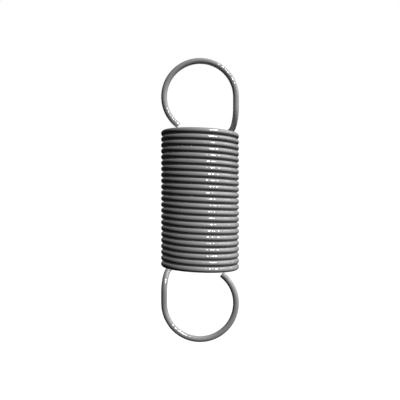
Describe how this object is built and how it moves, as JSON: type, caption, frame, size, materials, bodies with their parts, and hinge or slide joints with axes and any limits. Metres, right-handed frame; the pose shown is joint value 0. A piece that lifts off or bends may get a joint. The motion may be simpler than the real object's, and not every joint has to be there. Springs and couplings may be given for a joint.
{
  "type": "extension spring",
  "caption": "Extension spring of round steel wire: a close-wound left-hand coil with a full-loop hook at each end, both hooks in one plane.",
  "frame": {"origin": "middle of the spring: on the winding axis, halfway between the two hooks", "axes": "+Z along the winding axis towards the upper hook, +X towards the leg of the upper hook, +Y through the hooks, away from the side that the picture shows"},
  "size_m": [0.016, 0.016, 0.0584],
  "materials": {
    "spring_wire": "drawn spring steel wire, plain grey, satin"
  },
  "bodies": {
    "root": {"extension_spring": "spring_wire"}
  },
  "joints": []
}
